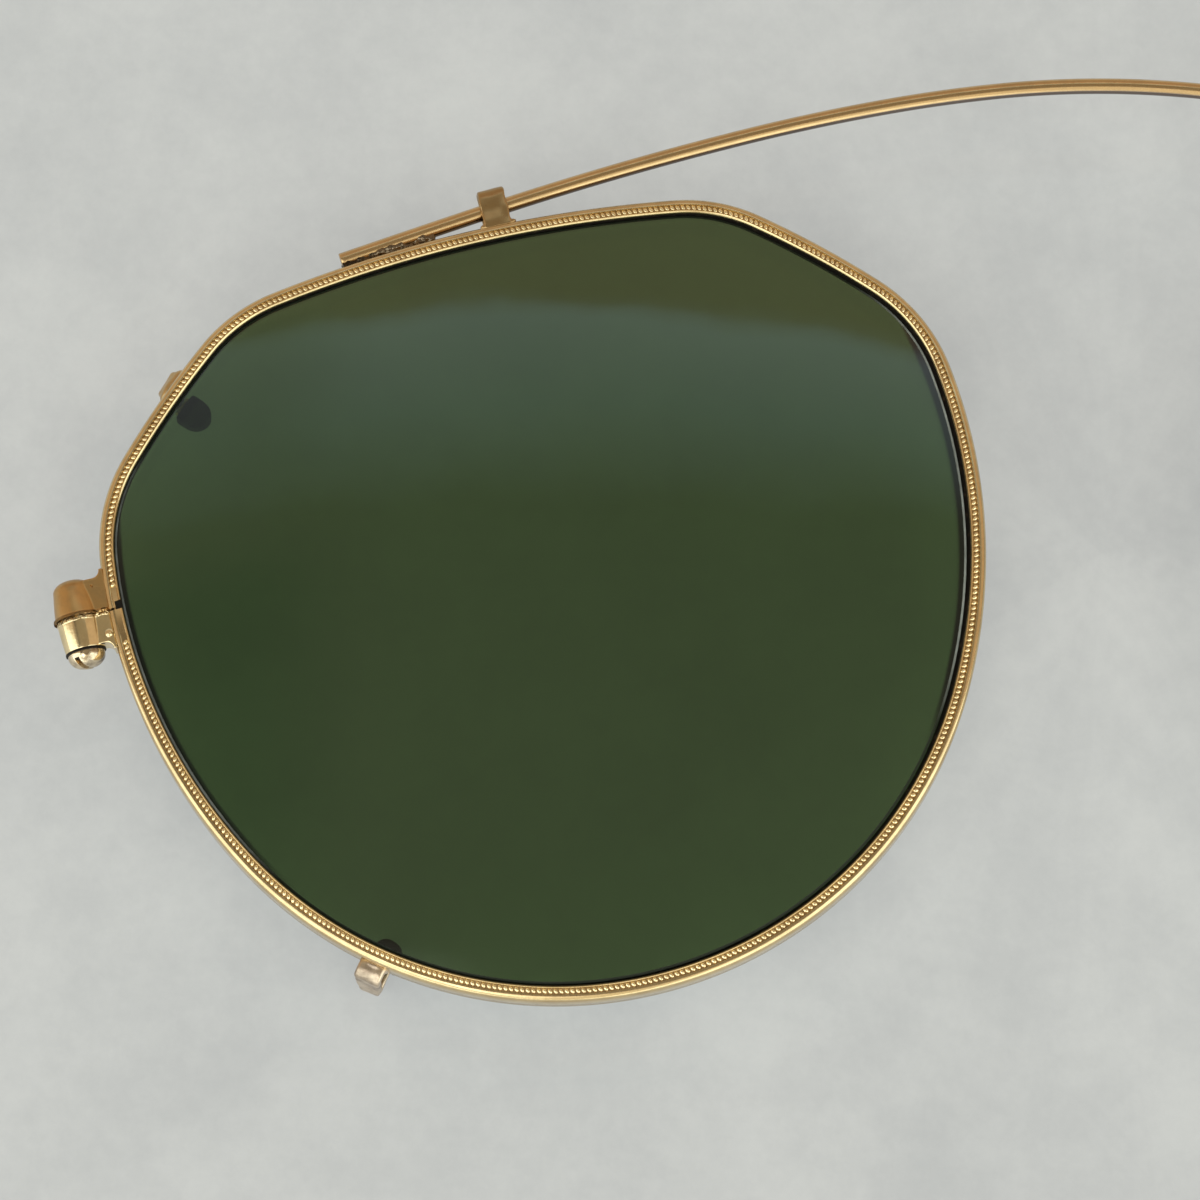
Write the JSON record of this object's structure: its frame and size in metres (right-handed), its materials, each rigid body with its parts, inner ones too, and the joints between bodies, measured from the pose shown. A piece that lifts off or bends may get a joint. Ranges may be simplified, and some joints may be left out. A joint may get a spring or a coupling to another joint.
{
  "type": "spring-bow clip-on lenses",
  "caption": "Tinted glass lenses in milled gold-filled rims, joined by a springy bow wire, with padded claws that clip over spectacles.",
  "frame": {"origin": "middle of the bottom of the part as it lies front up on its four claw pads", "axes": "+X across the face towards the wearer's left lens, +Y towards the brow and the bow wire, +Z out of the lens fronts"},
  "size_m": [0.1086, 0.049, 0.007],
  "materials": {
    "gold_filled_wire": "drawn gold-filled wire, worn satin",
    "gold_filled_rim": "gold-filled, polished edges and a milled band",
    "gold_filled_block": "gold-filled, softly polished",
    "gold_filled_claw": "gold-filled strip, rubbed and slightly tarnished",
    "screw_gilt": "gilt screw, bright with dark recess",
    "tarnished_solder": "oxidised hard solder",
    "black_pad": "matte black",
    "green_glass": "polished green tinted glass"
  },
  "bodies": {
    "right_unit": {"bow_wire": "gold_filled_wire", "right_rim": "gold_filled_rim", "right_lens": "green_glass", "right_closing_block_upper": "gold_filled_block", "right_closing_block_lower": "gold_filled_block", "right_closing_screw": "screw_gilt", "right_upper_claw": "gold_filled_claw", "right_lower_claw": "gold_filled_claw", "right_upper_claw_pad": "black_pad", "right_lower_claw_pad": "black_pad", "right_wire_braze": "tarnished_solder", "right_wire_keeper": "gold_filled_claw"},
    "left_unit": {"left_rim": "gold_filled_rim", "left_lens": "green_glass", "left_closing_block_upper": "gold_filled_block", "left_closing_block_lower": "gold_filled_block", "left_closing_screw": "screw_gilt", "left_upper_claw": "gold_filled_claw", "left_lower_claw": "gold_filled_claw", "left_upper_claw_pad": "black_pad", "left_lower_claw_pad": "black_pad", "left_wire_braze": "tarnished_solder", "left_wire_keeper": "gold_filled_claw"}
  },
  "joints": [
    {"name": "bow_flex", "type": "hinge", "parent": "right_unit", "child": "left_unit", "pos_m": [0, 0.02411, 0.00475], "axis": [0, 0, 1], "range_deg": [0, 30], "stiffness_Nm_per_rad": 0.04, "deforming": ["bow_wire"]}
  ]
}
